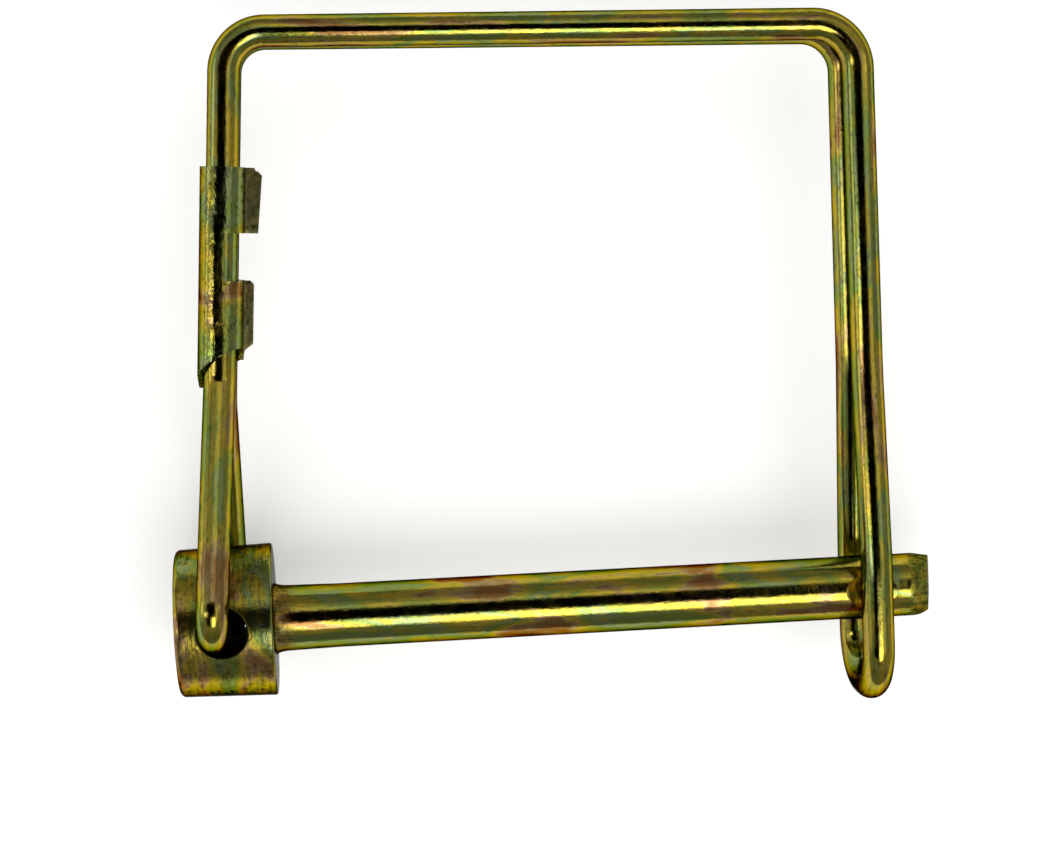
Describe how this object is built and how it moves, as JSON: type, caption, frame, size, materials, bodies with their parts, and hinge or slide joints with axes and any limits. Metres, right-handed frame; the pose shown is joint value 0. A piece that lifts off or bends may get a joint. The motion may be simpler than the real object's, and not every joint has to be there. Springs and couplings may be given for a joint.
{
  "type": "wire lock pin",
  "caption": "Headed round pin with a square spring-wire bail that pivots in a cross hole of the head, and whose loop locks over the shank near the tip; a folded clip holds the strands.",
  "frame": {"origin": "on the shank's axis, in the middle of its plain grip, 39.55 mm from the head's shoulder", "axes": "+X along the pin from the head to the tip, +Y from the pin to the bail's top bar, +Z out of the cross hole; the part lies on the floor with the bail flat"},
  "size_m": [0.0957, 0.0885, 0.0294],
  "materials": {
    "plated_pin": "steel with glossy yellow chromate zinc plating",
    "plated_wire": "spring steel with glossy yellow chromate zinc plating",
    "plated_clip": "sheet steel with glossy yellow chromate zinc plating"
  },
  "bodies": {
    "pin_body": {"pin": "plated_pin"},
    "bail_body": {"bail_wire": "plated_wire", "clip": "plated_clip"}
  },
  "joints": [
    {"name": "bail_swing", "type": "hinge", "parent": "pin_body", "child": "bail_body", "pos_m": [-0.04575, 0, 0], "axis": [0, 0, 1], "range_deg": [-6.5, 258], "deforming": ["bail_wire"]}
  ]
}
